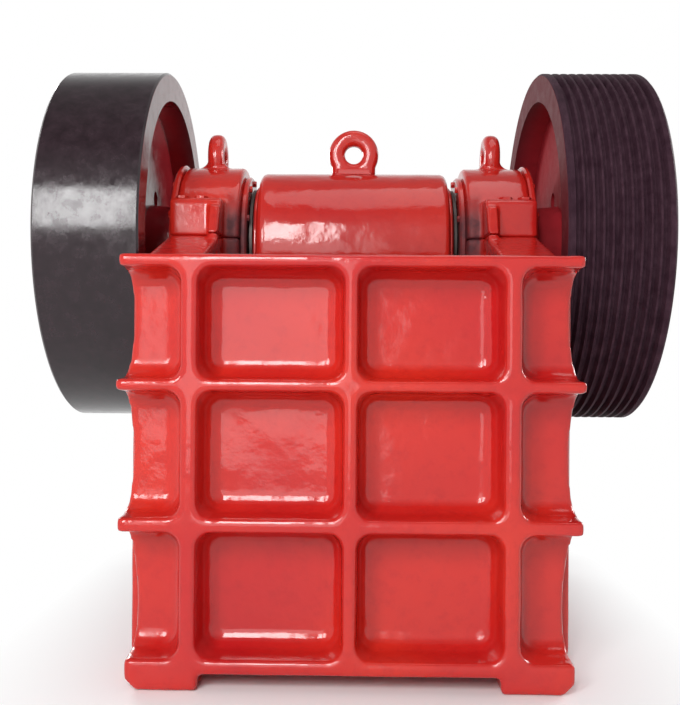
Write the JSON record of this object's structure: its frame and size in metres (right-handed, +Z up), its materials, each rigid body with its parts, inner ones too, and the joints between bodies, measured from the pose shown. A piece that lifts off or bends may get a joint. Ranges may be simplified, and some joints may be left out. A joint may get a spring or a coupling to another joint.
{
  "type": "jaw crusher",
  "caption": "Single-toggle jaw crusher in red enamel with a ribbed cast front wall, black flywheel, grooved drive sheave, swing jaw and toothed jaw plates.",
  "frame": {"origin": "on the floor under the middle of the whole machine's box", "axes": "+X along the shaft towards the grooved sheave, +Y from the ribbed front wall to the rear, +Z up"},
  "size_m": [1.732, 1.7, 1.653],
  "materials": {
    "red_enamel": "gloss",
    "black_enamel": "gloss",
    "manganese_steel": "matte",
    "machined_steel": "satin",
    "grey_iron": "matte"
  },
  "bodies": {
    "frame": {"front_wall": "red_enamel", "left_side_wall": "red_enamel", "right_side_wall": "red_enamel", "rear_wall": "red_enamel", "left_bearing_cap": "red_enamel", "right_bearing_cap": "red_enamel", "left_main_bearing": "machined_steel", "right_main_bearing": "machined_steel", "left_inner_cover": "red_enamel", "right_inner_cover": "red_enamel", "left_outer_cover": "red_enamel", "right_outer_cover": "red_enamel", "fixed_jaw_plate": "manganese_steel", "fixed_jaw_clamp": "red_enamel", "left_upper_cheek": "manganese_steel", "right_upper_cheek": "manganese_steel", "left_lower_cheek": "manganese_steel", "right_lower_cheek": "manganese_steel", "toggle_plate": "grey_iron", "rear_toggle_seat": "machined_steel", "adjusting_block": "grey_iron", "shim_pack": "machined_steel", "tension_rod": "machined_steel", "tension_spring": "black_enamel", "spring_cup": "black_enamel", "rod_nuts": "machined_steel"},
    "shaft": {"eccentric_shaft": "machined_steel", "flywheel": "black_enamel", "drive_sheave": "black_enamel", "left_seal_collar": "machined_steel", "right_seal_collar": "machined_steel", "left_end_plate": "red_enamel", "right_end_plate": "red_enamel"},
    "jaw": {"swing_jaw": "red_enamel", "jaw_lifting_eye": "red_enamel", "left_jaw_bearing": "machined_steel", "right_jaw_bearing": "machined_steel", "left_jaw_cover": "red_enamel", "right_jaw_cover": "red_enamel", "moving_jaw_plate": "manganese_steel", "jaw_plate_wedge": "red_enamel", "jaw_toggle_seat": "machined_steel"}
  },
  "joints": [
    {"name": "shaft_spin", "type": "hinge", "parent": "frame", "child": "shaft", "pos_m": [0, 0.05, 1.113], "axis": [1, 0, 0], "continuous": true},
    {"name": "jaw_carry", "type": "hinge", "parent": "shaft", "child": "jaw", "pos_m": [0, 0.05, 1.101], "axis": [1, 0, 0], "continuous": true}
  ],
  "couplings": [
    {"joint": "jaw_carry", "follows": "shaft_spin", "ratio": -1}
  ]
}
